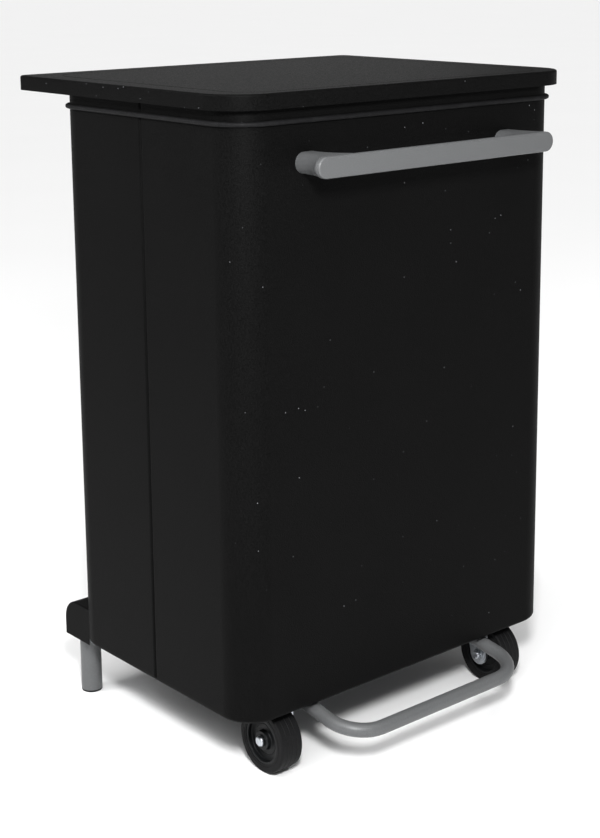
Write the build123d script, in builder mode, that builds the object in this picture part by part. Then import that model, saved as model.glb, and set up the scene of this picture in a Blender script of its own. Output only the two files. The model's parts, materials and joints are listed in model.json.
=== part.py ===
from build123d import *
import os
from math import cos, radians, sin, tan

# Linen trolley: a lidded sheet-steel sack holder on two wheels and two legs. A pedal under the
# front opens the lid through a lever under the base and a lift rod behind the body.
# +Z is up, -Y is the front, +X is to the right seen from the front. The origin is on the floor,
# midway between the front of the pedal and the back of the lid. All lengths are millimetres.

os.makedirs("parts", exist_ok=True)

# ---------------------------------------------------------------- driving dimensions

# Body: two half shells of sheet steel that meet at mid-depth
body_width = 480.0
body_depth = 330.0
body_corner = 40.0
body_bottom = 78.0
body_top = 742.0
sheet = 1.2
bottom_bend = 5.0
bottom_flange = 22.0
seam_gap = 0.4
seam_bend = 3.5
seam_flange = 16.0
seam_flange_bottom = 113.0
seam_flange_top = 714.0
rivet_radius = 2.4
rivet_head_radius = 4.5
rivet_head_height = 1.4
seam_rivet_count = 6
seam_cut_ratio = 4.0
screw_line = 14.0
head_taper = 20.0
short_screw_grip = 7.2
plate_screw_grip = 7.8
side_screw_y = 70.0
end_screw_x = 90.0

# Rim angle round the mouth, and the rubber band that holds a sack's turned-over edge
rim_sheet = 1.5
rim_lip = 18.0
rim_drop = 25.0
rim_notch = 9.0
band_middle = 723.0
band_size = 5.0
band_round = 2.2

# Base pan, an inverted tray that leaves room for the pedal gear under its floor
pan_inset = 5.0
pan_floor = 110.0
pan_flange = 14.0
lever_notch_width = 28.0
lever_notch_top = 112.0

# Lid
lid_side_overhang = 13.0
lid_front_overhang = 11.0
lid_rear_overhang = 63.0
lid_bottom = 737.5
lid_top = 754.0
lid_front_corner = 48.0
lid_rear_corner = 12.0
lid_edge = 2.5
groove_width = 2.4
groove_depth = 0.5
groove_side_inset = 28.0
groove_front_inset = 16.0
groove_rear_inset = 28.0
groove_corner = 36.0
liner_width = 436.0
liner_depth = 290.0
liner_height = 5.0
liner_corner = 30.0
buffer_radius = 5.0
buffer_spacing = 180.0
buffer_gap = 0.3

# Lid hinge
lid_open = 75.0
hinge_height = 730.0
hinge_pin_radius = 4.0
hinge_pin_reach = 175.0
hinge_ear_x = 159.5
hinge_bracket_x = 167.5
ear_radius = 9.0
plate = 3.0
running_fit = 0.06
ear_foot_ratio = 1.8
hinge_foot_bottom = 672.0
hinge_foot_top = 714.0
hinge_foot_width = 21.0
hinge_foot_offset = 9.0
hinge_rivet_offset = 12.0
hinge_arm_reach = 9.0
hinge_arm_start = 4.0
hinge_arm_end = 7.0
hinge_arm_drop = 6.0
hinge_arm_rise = 8.0
hinge_rivet_inset = 10.0
clip_ratio = 1.8
clip_mouth_ratio = 1.5
ear_relief = 15.0
crank_relief = 30.0

# Pedal: one bent tube, its pivot shaft, and the lever that reaches back to the lift rod
pedal_tube_radius = 8.0
pedal_tube_wall = 1.5
pedal_leg_x = 134.5
pedal_bend = 42.0
pedal_bar_height = 56.0
pedal_slope = 9.3
pedal_pivot_y = -20.0
pedal_travel = 8.5
pedal_tail = 16.0
cap_height = 1.5
cap_plug = 6.0
shaft_radius = 6.0
shaft_reach = 155.0
pivot_bracket_x = 148.0
pivot_foot_width = 26.0
pivot_foot_length = 40.0
pivot_screw_spacing = 24.0
pivot_bush_wall = 2.0
pivot_ear_ratio = 2.2
pivot_foot_middle = 159.5
pivot_screw_x = 162.0
shaft_clip_ratio = 1.6
lever_length = 206.0
lever_drop = 5.5
lever_thickness = 8.0
lever_end_radius = 7.0
lever_neck_ratio = 3.0
lever_boss_radius = 12.0
stop_y = 120.0
stop_clearance = 0.3

# Lift rod
rod_radius = 5.0
foot_radius = 7.0
foot_height = 7.0
clevis_gap = 9.0
clevis_cheek = 4.0
clevis_depth = 16.0
rod_pin_radius = 3.0
clevis_round = 2.0
soft_edge = 1.0
clevis_below = 28.0
clevis_floor_below = 13.0
clevis_above = 8.0
rod_in_clevis = 12.0
slot_radius = 4.1
slot_wall = 4.0
slot_play = 0.7
guide_heights = {"lower": 300.0, "upper": 640.0}
guide_radius = 8.0
guide_width = 40.0
guide_foot = 24.0
guide_bush_flange = 2.0
guide_collar_ratio = 1.6
guide_rivet_drop = 14.0

# Wheels
wheel_radius = 37.5
wheel_width = 30.0
wheel_x = 176.0
wheel_set_back = 36.0
tyre_depth = 10.5
tyre_edge = 2.2
hub_rim = 3.0
hub_rim_inset = 1.0
hub_web = 8.0
hub_boss = 4.0
hub_boss_inset = 3.0
axle_radius = 5.0
axle_head_radius = 6.0
bush_radius = 7.0
wheel_bracket_x = 156.5
axle_dome = 3.4
axle_dome_round = 2.72
axle_head_gap = 0.4
axle_stick_out = 5.0
wheel_ear_radius = 13.0
wheel_foot_width = 37.0
wheel_foot_middle = 139.5
wheel_foot_shift = 1.0
wheel_foot_length = 50.0
wheel_screw_inset = 22.0
wheel_screw_spacing = 28.0
washer_radius = 9.0
washer_thickness = 2.4
star_clip_radius = 8.5
star_clip_slots = 6
star_clip_thickness = 1.2
star_clip_slot = 3.5

# Rear cross channel and legs
channel_reach = 31.0
channel_bottom = 73.0
channel_height = 46.0
channel_round = 25.0
channel_half_length = 236.0
channel_sheet = 1.5
channel_flange = 14.0
channel_end_round = 1.5
channel_flange_clear = 10.0
foot_clearance = 1.0
channel_rivet_x = (-170.0, -85.0, 85.0, 170.0)
leg_radius = 12.7
leg_wall = 1.5
leg_x = 215.0
leg_set_back = 9.0
leg_top = 75.0
seat_bore_ratio = 3.0
leg_plate_x = 211.0
leg_plate_width = 42.0
leg_plate_front = 110.0
leg_plate_rear = 193.0
leg_plate_corner = 4.0
leg_screw_places = ((224.0, 118.0), (200.0, 151.0))
glide_height = 2.5
glide_plug = 16.0

# Handle
handle_height = 679.5
handle_length = 350.0
handle_bar_height = 22.5
handle_bar_thickness = 7.5
handle_standoff = 50.0
handle_edge = 2.0
mount_outer_x = 164.0
mount_width = 33.0
mount_screw_spacing = 16.0
mount_screw_depth = 16.0
mount_screw_grip = 14.0
mount_edge = 1.0

# Fasteners
screw_radius = 2.5
screw_head_radius = 4.5
screw_head_height = 2.8
hole_clearance = 0.1

# ---------------------------------------------------------------- worked-out places

half_width = body_width / 2
half_depth = body_depth / 2
rear_y = half_depth + lid_rear_overhang
pedal_bar_y = pedal_tube_radius - rear_y
pedal_pivot_z = pedal_bar_height + (pedal_pivot_y - pedal_bar_y) * tan(radians(pedal_slope))
lever_end_y = pedal_pivot_y + lever_length * cos(radians(lever_drop))
lever_end_z = pedal_pivot_z - lever_length * sin(radians(lever_drop))
seam_cut = seam_cut_ratio * seam_bend
lever_neck_y = lever_end_y - lever_neck_ratio * lever_end_radius
lever_rise = sin(radians(lever_drop)) + sin(radians(pedal_travel - lever_drop))
rod_travel = lever_length * lever_rise
rod_y = pedal_pivot_y + lever_length
crank = rod_travel / (2 * sin(radians(lid_open / 2)))
hinge_y = rod_y + crank * cos(radians(lid_open / 2))
rod_pin_z = hinge_height - crank * sin(radians(lid_open / 2))
foot_bottom = lever_end_z + lever_end_radius + buffer_gap
wheel_y = wheel_set_back - half_depth
leg_y = half_depth + leg_set_back
lid_under = lid_top - sheet
pan_top = pan_floor + sheet
hinge_foot_x = hinge_bracket_x + hinge_foot_offset
channel_top = channel_bottom + channel_height
far = 2 * body_width
sides = {"left": -1, "right": 1}


# ---------------------------------------------------------------- shared steps

def save(piece, name):
    """Label a finished piece and write it."""
    piece.part.label = name
    export_step(piece.part, f"parts/{name}.step")


def rounded_plan(width, depth, corner, height, middle_y=0.0):
    """A rounded rectangle drawn at a height."""
    with BuildSketch(Plane.XY.offset(height)) as plan:
        with Locations((0, middle_y)):
            RectangleRounded(width, depth, corner)
    return plan.sketch


def body_plan(inset, height):
    """The body's outline seen from above, drawn in from the outside by an inset."""
    return rounded_plan(body_width - 2 * inset, body_depth - 2 * inset, body_corner - inset, height)


def half_plan(inset, side, height):
    """The outline of one half of the body, with its seam edges rounded. side is -1 for the front."""
    middle = side * (half_depth + seam_gap / 2) / 2
    seam = -1 if side < 0 else 0
    with BuildSketch(Plane.XY.offset(height)) as plan:
        with Locations((0, middle)):
            Rectangle(body_width - 2 * inset, half_depth - seam_gap / 2 - 2 * inset)
        fillet(plan.vertices().group_by(Axis.Y)[-1 - seam], body_corner - inset)
        fillet(plan.vertices().group_by(Axis.Y)[seam], seam_bend - inset)
    return plan.sketch


def lid_plan(inset, height):
    """The lid's outline: wide front corners, tight rear ones."""
    depth = body_depth + lid_front_overhang + lid_rear_overhang
    middle = (lid_rear_overhang - lid_front_overhang) / 2
    with BuildSketch(Plane.XY.offset(height)) as plan:
        with Locations((0, middle)):
            Rectangle(body_width + 2 * (lid_side_overhang - inset), depth - 2 * inset)
        fillet(plan.vertices().group_by(Axis.Y)[0], lid_front_corner - inset)
        fillet(plan.vertices().group_by(Axis.Y)[-1], lid_rear_corner - inset)
    return plan.sketch


def upright(x_middle, thickness):
    """A plane for a plate that stands front to back, centred on x_middle."""
    return Plane.YZ.offset(x_middle - thickness / 2)


def along_x(x, y, z):
    """A plane at a point, facing +X."""
    return Plane(origin=(x, y, z), x_dir=(0, 1, 0), z_dir=(1, 0, 0))


def fastener_group(name, points, direction, shank_radius, head_radius, head_height, length):
    """Separate domed fasteners: heads outside each point, shanks into the work along direction."""
    out = Vector(*direction)
    with BuildPart() as group:
        for point in points:
            seat = Plane(origin=point, z_dir=out)
            with BuildSketch(seat):
                Circle(head_radius)
            extrude(amount=head_height, taper=head_taper)
            with BuildSketch(seat):
                Circle(shank_radius)
            extrude(amount=-length)
    save(group, name)


# ---------------------------------------------------------------- fastener places

base_screw_points = [
    (side * (half_width - screw_line), end * side_screw_y, body_bottom)
    for side in sides.values() for end in (-1, 1)
] + [
    (side * end_screw_x, end * (half_depth - screw_line), body_bottom)
    for side in sides.values() for end in (-1, 1)
]
leg_screw_points = [
    (side * x, y, leg_top) for side in sides.values() for x, y in leg_screw_places
]
wheel_screw_points = [
    (side * (wheel_bracket_x - wheel_screw_inset), wheel_y + end * wheel_screw_spacing / 2, pan_top)
    for side in sides.values() for end in (-1, 1)
]
pivot_screw_points = [
    (side * (pivot_screw_x), pedal_pivot_y + end * pivot_screw_spacing / 2, pan_top)
    for side in sides.values() for end in (-1, 1)
]
handle_screw_points = [
    (side * (mount_outer_x - mount_width / 2) + dx, sheet - half_depth, handle_height)
    for side in sides.values() for dx in (-mount_screw_spacing / 2, mount_screw_spacing / 2)
]
channel_rivet_points = [
    (x, half_depth + channel_sheet, channel_top + channel_flange / 2)
    for x in channel_rivet_x
]
hinge_rivet_points = [
    (side * (hinge_bracket_x + hinge_rivet_offset), half_depth + plate, z)
    for side in sides.values()
    for z in (hinge_foot_bottom + hinge_rivet_inset, hinge_foot_top - hinge_rivet_inset)
]
guide_rivet_points = [
    (side * guide_foot / 2, half_depth + plate, z - guide_rivet_drop)
    for z in guide_heights.values() for side in sides.values()
]
seam_rivet_step = (seam_flange_top - seam_flange_bottom) / seam_rivet_count
seam_rivet_heights = [
    seam_flange_bottom + seam_rivet_step * (turn + 0.5) for turn in range(seam_rivet_count)
]


def drill(points, direction, radius, depth):
    """Clearance holes, open both ways, through whatever the current part has at the points."""
    for point in points:
        with BuildSketch(Plane(origin=point, z_dir=direction)) as hole:
            Circle(radius + hole_clearance)
        extrude(hole.sketch, amount=depth, both=True, mode=Mode.SUBTRACT)


# ---------------------------------------------------------------- body shells

def full_body(inset):
    """The whole body as a block with its lower edge rolled, drawn in by an inset."""
    with BuildPart() as block:
        extrude(body_plan(inset, body_bottom + inset), amount=body_top - body_bottom)
        fillet(block.faces().sort_by(Axis.Z)[0].edges(), bottom_bend - inset)
    return block.part


body_block = full_body(0)
body_room = full_body(sheet)


def make_shell(name, side):
    """One half shell: a panel, two corners, half of each side, a turned-in foot and seam flanges."""
    with BuildPart() as room:
        add(body_room)
        extrude(half_plan(sheet, side, 0), amount=far, mode=Mode.INTERSECT)
    with BuildPart() as shell:
        add(body_block)
        extrude(half_plan(0, side, 0), amount=body_top, mode=Mode.INTERSECT)
        add(room.part, mode=Mode.SUBTRACT)
        # The foot's inner edge, and the open middle of the seam wall
        foot_hole = rounded_plan(
            body_width - 2 * bottom_flange, body_depth - 2 * bottom_flange,
            body_corner - bottom_flange, 0,
        )
        extrude(foot_hole, amount=body_bottom + 2 * sheet, mode=Mode.SUBTRACT)
        with BuildSketch(Plane.XY.offset(0)) as middle:
            Rectangle(body_width - 2 * seam_flange, seam_cut)
        extrude(middle.sketch, amount=far, mode=Mode.SUBTRACT)
        # The seam flanges stop short of the pan and of the rim angle
        with BuildSketch(Plane.XY.offset(body_bottom + sheet)) as flange_end:
            Rectangle(body_width - 2 * seam_bend, seam_cut)
        extrude(
            flange_end.sketch, amount=seam_flange_bottom - body_bottom - sheet,
            mode=Mode.SUBTRACT,
        )
        with BuildSketch(Plane.XY.offset(seam_flange_top)) as flange_end:
            Rectangle(body_width - 2 * seam_bend, seam_cut)
        extrude(flange_end.sketch, amount=body_top, mode=Mode.SUBTRACT)
        drill(base_screw_points + leg_screw_points, (0, 0, 1), screw_radius, 2 * leg_wall + plate)
        seam_holes = [
            (end * (half_width - seam_flange / 2), 0, z)
            for end in sides.values() for z in seam_rivet_heights
        ]
        drill(seam_holes, (0, 1, 0), rivet_radius, 2 * sheet)
        if side < 0:
            drill(handle_screw_points, (0, 1, 0), screw_radius, 2 * sheet)
        else:
            rivets = channel_rivet_points + hinge_rivet_points + guide_rivet_points
            drill(rivets, (0, 1, 0), rivet_radius, 2 * plate)
            with BuildSketch(Plane.XY.offset(0)) as notch:
                with Locations((0, half_depth)):
                    Rectangle(lever_notch_width, 2 * bottom_flange + 2 * sheet)
            extrude(notch.sketch, amount=lever_notch_top, mode=Mode.SUBTRACT)
    save(shell, name)


make_shell("front_shell", -1)
make_shell("rear_shell", 1)

with BuildPart() as seam_rivets:
    for end in sides.values():
        for z in seam_rivet_heights:
            for face in (-1, 1):
                seat = Plane(
                    origin=(end * (half_width - seam_flange / 2), face * (seam_gap / 2 + sheet), z),
                    z_dir=(0, face, 0),
                )
                with BuildSketch(seat):
                    Circle(rivet_head_radius)
                extrude(amount=rivet_head_height, taper=head_taper)
            with BuildSketch(Plane.XZ):
                with Locations((end * (half_width - seam_flange / 2), z)):
                    Circle(rivet_radius)
            extrude(amount=seam_gap / 2 + sheet, both=True)
save(seam_rivets, "seam_rivets")

# ---------------------------------------------------------------- rim angle and bag band

with BuildPart() as rim_frame:
    extrude(body_plan(0, body_top), amount=rim_sheet)
    fillet(rim_frame.faces().sort_by(Axis.Z)[-1].edges(), rim_sheet / 3)
    extrude(body_plan(sheet, body_top - rim_drop), amount=rim_drop)
    extrude(body_plan(sheet + rim_sheet, 0), amount=body_top, mode=Mode.SUBTRACT)
    extrude(body_plan(rim_lip, body_top), amount=rim_sheet, mode=Mode.SUBTRACT)
    with BuildSketch(Plane.XY.offset(body_top - rim_drop)):
        Rectangle(body_width, rim_notch)
    extrude(amount=rim_drop, mode=Mode.SUBTRACT)
save(rim_frame, "rim_frame")

with BuildPart() as bag_band:
    extrude(body_plan(-band_size, band_middle - band_size / 2), amount=band_size)
    fillet(bag_band.faces().filter_by(Axis.Z).edges(), band_round)
    extrude(body_plan(0, 0), amount=body_top, mode=Mode.SUBTRACT)
save(bag_band, "bag_band")

# ---------------------------------------------------------------- base pan

pan_bottom = body_bottom + sheet
with BuildPart() as pan_room:
    extrude(
        body_plan(pan_inset + sheet, pan_bottom + sheet), amount=pan_floor - pan_bottom - sheet,
    )
    fillet(pan_room.faces().sort_by(Axis.Z)[-1].edges(), bottom_bend - sheet)

with BuildPart() as base_pan:
    extrude(body_plan(pan_inset, pan_bottom), amount=pan_top - pan_bottom)
    fillet(base_pan.faces().sort_by(Axis.Z)[-1].edges(), bottom_bend)
    add(pan_room.part, mode=Mode.SUBTRACT)
    extrude(body_plan(pan_inset + pan_flange, 0), amount=pan_bottom + sheet, mode=Mode.SUBTRACT)
    with BuildSketch(Plane.XY.offset(0)) as lever_notch:
        with Locations((0, half_depth)):
            Rectangle(lever_notch_width, 2 * (pan_inset + pan_flange + sheet))
    extrude(lever_notch.sketch, amount=pan_floor - sheet, mode=Mode.SUBTRACT)
    drill(base_screw_points + leg_screw_points, (0, 0, 1), screw_radius, 2 * leg_wall + plate)
    drill(wheel_screw_points + pivot_screw_points, (0, 0, 1), screw_radius, 2 * plate)
save(base_pan, "base_pan")

fastener_group(
    "base_screws", base_screw_points, (0, 0, -1), screw_radius, screw_head_radius,
    screw_head_height, short_screw_grip,
)
fastener_group(
    "bracket_screws", wheel_screw_points + pivot_screw_points, (0, 0, 1), screw_radius,
    screw_head_radius, screw_head_height, plate_screw_grip,
)

# ---------------------------------------------------------------- lid

with BuildPart() as lid_room:
    extrude(lid_plan(sheet, lid_bottom - sheet), amount=lid_under - lid_bottom + sheet)
    fillet(lid_room.faces().sort_by(Axis.Z)[-1].edges(), lid_edge - sheet)

with BuildPart() as lid_shell:
    extrude(lid_plan(0, lid_bottom), amount=lid_top - lid_bottom)
    fillet(lid_shell.faces().sort_by(Axis.Z)[-1].edges(), lid_edge)
    add(lid_room.part, mode=Mode.SUBTRACT)
    groove_long = body_width + 2 * (lid_side_overhang - groove_side_inset)
    groove_deep = rear_y + half_depth + lid_front_overhang - groove_front_inset - groove_rear_inset
    groove_y = (rear_y - groove_rear_inset - half_depth - lid_front_overhang + groove_front_inset) / 2
    with BuildSketch(Plane.XY.offset(lid_top)):
        with Locations((0, groove_y)):
            RectangleRounded(groove_long, groove_deep, groove_corner)
            RectangleRounded(
                groove_long - 2 * groove_width, groove_deep - 2 * groove_width,
                groove_corner - groove_width, mode=Mode.SUBTRACT,
            )
    extrude(amount=-groove_depth, mode=Mode.SUBTRACT)
save(lid_shell, "lid_shell")

liner_bottom = lid_under - liner_height
with BuildPart() as lid_liner:
    extrude(rounded_plan(liner_width, liner_depth, liner_corner, liner_bottom), amount=liner_height)
    fillet(lid_liner.faces().sort_by(Axis.Z)[0].edges(), 2 * sheet)
    inner = rounded_plan(
        liner_width - 2 * sheet, liner_depth - 2 * sheet, liner_corner - sheet, liner_bottom + sheet,
    )
    extrude(inner, amount=liner_height, mode=Mode.SUBTRACT)
save(lid_liner, "lid_liner")

buffer_bottom = body_top + rim_sheet + buffer_gap
with BuildPart() as lid_buffers:
    with BuildSketch(Plane.XY.offset(buffer_bottom)):
        with GridLocations(body_width - rim_lip, buffer_spacing, 2, 2):
            Circle(buffer_radius)
    extrude(amount=lid_under - buffer_bottom)
    fillet(lid_buffers.faces().group_by(Axis.Z)[0].edges(), buffer_radius / 4)
save(lid_buffers, "lid_buffers")

# ---------------------------------------------------------------- lid hinge

hinge_centre = (hinge_y, hinge_height)
ear_foot = ear_foot_ratio * ear_radius

for side_name, side in sides.items():
    with BuildPart() as hinge_ear:
        with BuildSketch(upright(side * hinge_ear_x, plate)):
            with Locations(hinge_centre):
                Circle(ear_radius)
            Polygon(
                (hinge_y - ear_radius, hinge_height), (hinge_y + ear_radius, hinge_height),
                (hinge_y + ear_foot, lid_under), (hinge_y - ear_foot, lid_under),
                align=None,
            )
            with Locations(hinge_centre):
                Circle(hinge_pin_radius + running_fit, mode=Mode.SUBTRACT)
        extrude(amount=plate)
        with BuildSketch(Plane.XY.offset(lid_under - plate)):
            with Locations((side * (hinge_ear_x - 2 * plate), hinge_y)):
                Rectangle(ear_relief, 2 * ear_foot)
        extrude(amount=plate)
    save(hinge_ear, f"hinge_ear_{side_name}")

    with BuildPart() as hinge_bracket:
        with BuildSketch(upright(side * hinge_bracket_x, plate)):
            with Locations(hinge_centre):
                Circle(ear_radius)
            Polygon(
                (half_depth, hinge_foot_bottom), (half_depth, hinge_foot_top),
                (half_depth + hinge_arm_reach, hinge_foot_top + hinge_arm_start),
                (hinge_y - hinge_arm_start, hinge_height + hinge_arm_rise),
                (hinge_y + hinge_arm_end, hinge_height - hinge_arm_drop),
                align=None,
            )
            with Locations(hinge_centre):
                Circle(hinge_pin_radius, mode=Mode.SUBTRACT)
        extrude(amount=plate)
        with BuildSketch(Plane.XZ.offset(-half_depth)):
            with Locations((side * hinge_foot_x, (hinge_foot_bottom + hinge_foot_top) / 2)):
                Rectangle(hinge_foot_width, hinge_foot_top - hinge_foot_bottom)
        extrude(amount=-plate)
        drill(hinge_rivet_points, (0, 1, 0), rivet_radius, 2 * plate)
    save(hinge_bracket, f"hinge_bracket_{side_name}")

with BuildPart() as hinge_pin:
    with BuildSketch(along_x(-hinge_pin_reach, *hinge_centre)):
        Circle(hinge_pin_radius)
    extrude(amount=2 * hinge_pin_reach)
    chamfer(hinge_pin.faces().filter_by(Axis.X).edges(), hinge_pin_radius / 5)
save(hinge_pin, "hinge_pin")

with BuildPart() as hinge_pin_clips:
    for side in sides.values():
        with BuildSketch(upright(side * (hinge_bracket_x + plate), sheet)):
            with Locations(hinge_centre):
                Circle(clip_ratio * hinge_pin_radius)
                Circle(hinge_pin_radius, mode=Mode.SUBTRACT)
            with Locations((hinge_y, hinge_height - clip_mouth_ratio * hinge_pin_radius)):
                Rectangle(hinge_pin_radius, 2 * hinge_pin_radius, mode=Mode.SUBTRACT)
        extrude(amount=sheet)
save(hinge_pin_clips, "hinge_pin_clips")

# The crank plate under the lid: a round eye on the hinge pin and a slot for the lift rod's pin.
# The slot lies at half the opening angle below the level, so the rod works evenly to each side.
crank_direction = Vector(0, -cos(radians(lid_open / 2)), -sin(radians(lid_open / 2)))
slot_near = crank * cos(radians(lid_open / 2)) - slot_play
slot_far = crank + slot_play
tip_radius = slot_radius + slot_wall


def crank_point(distance):
    """A point on the crank plate's centre line, in the plate's own Y and Z."""
    return (hinge_y + distance * crank_direction.Y, hinge_height + distance * crank_direction.Z)


with BuildPart() as lid_crank:
    with BuildSketch(upright(0, 2 * plate)):
        with BuildLine():
            Polyline(
                crank_point(slot_far), (hinge_y + ear_radius, hinge_height),
                (hinge_y + ear_foot, lid_under), (hinge_y - ear_foot, lid_under),
                crank_point(slot_far), close=False,
            )
        make_face()
        with Locations(crank_point(slot_far), crank_point(slot_near)):
            Circle(tip_radius)
        with Locations(hinge_centre):
            Circle(ear_radius)
        with Locations(crank_point((slot_near + slot_far) / 2)):
            SlotCenterToCenter(
                slot_far - slot_near, 2 * slot_radius, rotation=lid_open / 2, mode=Mode.SUBTRACT,
            )
        with Locations(hinge_centre):
            Circle(hinge_pin_radius + running_fit, mode=Mode.SUBTRACT)
    extrude(amount=2 * plate)
    with BuildSketch(Plane.XY.offset(lid_under - plate)):
        with Locations((0, hinge_y)):
            Rectangle(crank_relief, 2 * ear_foot)
    extrude(amount=plate)
save(lid_crank, "lid_crank")

# ---------------------------------------------------------------- pedal

slope = radians(pedal_slope)
pedal_plane = Plane(
    origin=(0, pedal_bar_y, pedal_bar_height), x_dir=(1, 0, 0), z_dir=(0, -sin(slope), cos(slope)),
)
pedal_leg_length = (pedal_pivot_y - pedal_bar_y) / cos(slope) + pedal_tail
pivot_centre = (pedal_pivot_y, pedal_pivot_z)

with BuildPart() as pedal_tube:
    with BuildLine(pedal_plane) as pedal_path:
        FilletPolyline(
            (-pedal_leg_x, pedal_leg_length), (-pedal_leg_x, 0), (pedal_leg_x, 0),
            (pedal_leg_x, pedal_leg_length), radius=pedal_bend,
        )
    with BuildSketch(Plane(origin=pedal_path.line @ 0, z_dir=pedal_path.line % 0)):
        Circle(pedal_tube_radius)
        Circle(pedal_tube_radius - pedal_tube_wall, mode=Mode.SUBTRACT)
    sweep()
    with BuildSketch(along_x(-shaft_reach, *pivot_centre)):
        Circle(shaft_radius)
    extrude(amount=2 * shaft_reach, mode=Mode.SUBTRACT)
save(pedal_tube, "pedal_tube")

with BuildPart() as pedal_end_caps:
    for side in sides.values():
        leg_end = pedal_plane.from_local_coords(Vector(side * pedal_leg_x, pedal_leg_length, 0))
        leg_plane = Plane(origin=leg_end, z_dir=pedal_plane.y_dir)
        with BuildSketch(leg_plane):
            Circle(pedal_tube_radius)
        extrude(amount=cap_height)
        with BuildSketch(leg_plane):
            Circle(pedal_tube_radius - pedal_tube_wall)
        extrude(amount=-cap_plug)
save(pedal_end_caps, "pedal_end_caps")

with BuildPart() as pedal_shaft:
    with BuildSketch(along_x(-shaft_reach, *pivot_centre)):
        Circle(shaft_radius)
    extrude(amount=2 * shaft_reach)
    chamfer(pedal_shaft.faces().filter_by(Axis.X).edges(), shaft_radius / 6)
save(pedal_shaft, "pedal_shaft")

with BuildPart() as shaft_clips:
    for side in sides.values():
        with BuildSketch(upright(side * (pivot_bracket_x + 1.5 * plate), sheet)):
            with Locations(pivot_centre):
                Circle(shaft_clip_ratio * shaft_radius)
                Circle(shaft_radius, mode=Mode.SUBTRACT)
            with Locations((pedal_pivot_y, pedal_pivot_z - clip_mouth_ratio * shaft_radius)):
                Rectangle(shaft_radius, 2 * shaft_radius, mode=Mode.SUBTRACT)
        extrude(amount=sheet)
save(shaft_clips, "shaft_clips")

with BuildPart() as pedal_lever:
    with BuildSketch(upright(0, lever_thickness)):
        with BuildLine():
            Polyline(
                (pedal_pivot_y, pedal_pivot_z + lever_boss_radius),
                (pedal_pivot_y, pedal_pivot_z - lever_boss_radius),
                (lever_end_y - lever_end_radius, lever_end_z - lever_end_radius),
                (lever_end_y - lever_end_radius, lever_end_z + lever_end_radius / 2),
                (lever_neck_y, lever_end_z + lever_end_radius),
                close=True,
            )
        make_face()
        with Locations(pivot_centre):
            Circle(lever_boss_radius)
        with Locations((lever_end_y - lever_end_radius, lever_end_z)):
            Rectangle(2 * lever_end_radius, lever_end_radius)
        with Locations(pivot_centre):
            Circle(shaft_radius, mode=Mode.SUBTRACT)
        with Locations((lever_end_y, lever_end_z)):
            Circle(lever_end_radius, mode=Mode.SUBTRACT)
    extrude(amount=lever_thickness)
save(pedal_lever, "pedal_lever")

with BuildPart() as lever_pad:
    with BuildSketch(upright(0, 2 * lever_thickness)):
        with Locations((lever_end_y, lever_end_z)):
            Circle(lever_end_radius)
    extrude(amount=2 * lever_thickness)
    fillet(lever_pad.faces().filter_by(Axis.X).edges(), soft_edge)
save(lever_pad, "lever_pad")

pivot_ear_radius = pivot_ear_ratio * shaft_radius

for side_name, side in sides.items():
    with BuildPart() as pivot_bracket:
        with BuildSketch(upright(side * pivot_bracket_x, plate)):
            with Locations(pivot_centre):
                Circle(pivot_ear_radius)
            Polygon(
                (pedal_pivot_y - pivot_ear_radius, pedal_pivot_z),
                (pedal_pivot_y + pivot_ear_radius, pedal_pivot_z),
                (pedal_pivot_y + pivot_foot_length / 2, pan_floor),
                (pedal_pivot_y - pivot_foot_length / 2, pan_floor), align=None,
            )
            with Locations(pivot_centre):
                Circle(shaft_radius + pivot_bush_wall, mode=Mode.SUBTRACT)
        extrude(amount=plate)
        with BuildSketch(Plane.XY.offset(pan_floor - plate)):
            with Locations((side * pivot_foot_middle, pedal_pivot_y)):
                Rectangle(pivot_foot_width, pivot_foot_length)
        extrude(amount=plate)
        drill(pivot_screw_points, (0, 0, 1), screw_radius, 2 * plate)
    save(pivot_bracket, f"pivot_bracket_{side_name}")

with BuildPart() as pivot_bushes:
    for side in sides.values():
        with BuildSketch(upright(side * pivot_bracket_x, plate)):
            with Locations(pivot_centre):
                Circle(shaft_radius + pivot_bush_wall)
                Circle(shaft_radius + running_fit, mode=Mode.SUBTRACT)
        extrude(amount=plate)
save(pivot_bushes, "pivot_bushes")

# The buffer under the pan that stops the lever when the pedal is down. It ends just above the
# lever's upper edge as that edge stands at the end of the pedal's travel.
stop_run = stop_y - pedal_pivot_y
edge_drop = (pedal_pivot_z + lever_boss_radius - lever_end_z - lever_end_radius) * (
    stop_run / (lever_neck_y - pedal_pivot_y)
)
stop_bottom = buffer_gap + stop_clearance + pedal_pivot_z + (
    stop_run * sin(radians(pedal_travel))
    + (lever_boss_radius - edge_drop) * cos(radians(pedal_travel))
)
with BuildPart() as pedal_stop:
    with BuildSketch(Plane.XY.offset(stop_bottom)):
        with Locations((0, stop_y)):
            Circle(lever_end_radius)
    extrude(amount=pan_floor - stop_bottom)
save(pedal_stop, "pedal_stop")

# ---------------------------------------------------------------- lift rod

rod_socket = foot_bottom + foot_height / 2
clevis_bottom = rod_pin_z - clevis_below
clevis_floor = rod_pin_z - clevis_floor_below
clevis_top = rod_pin_z + clevis_above
rod_top = clevis_bottom + rod_in_clevis

with BuildPart() as lift_rod:
    with BuildSketch(Plane.XY.offset(rod_socket)):
        with Locations((0, rod_y)):
            Circle(rod_radius)
    extrude(amount=rod_top - rod_socket)
save(lift_rod, "lift_rod")

with BuildPart() as rod_foot:
    with BuildSketch(Plane.XY.offset(foot_bottom)):
        with Locations((0, rod_y)):
            Circle(foot_radius)
    extrude(amount=foot_height)
    fillet(rod_foot.faces().sort_by(Axis.Z)[0].edges(), soft_edge)
    with BuildSketch(Plane.XY.offset(rod_socket)):
        with Locations((0, rod_y)):
            Circle(rod_radius)
    extrude(amount=foot_height, mode=Mode.SUBTRACT)
save(rod_foot, "rod_foot")

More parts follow.
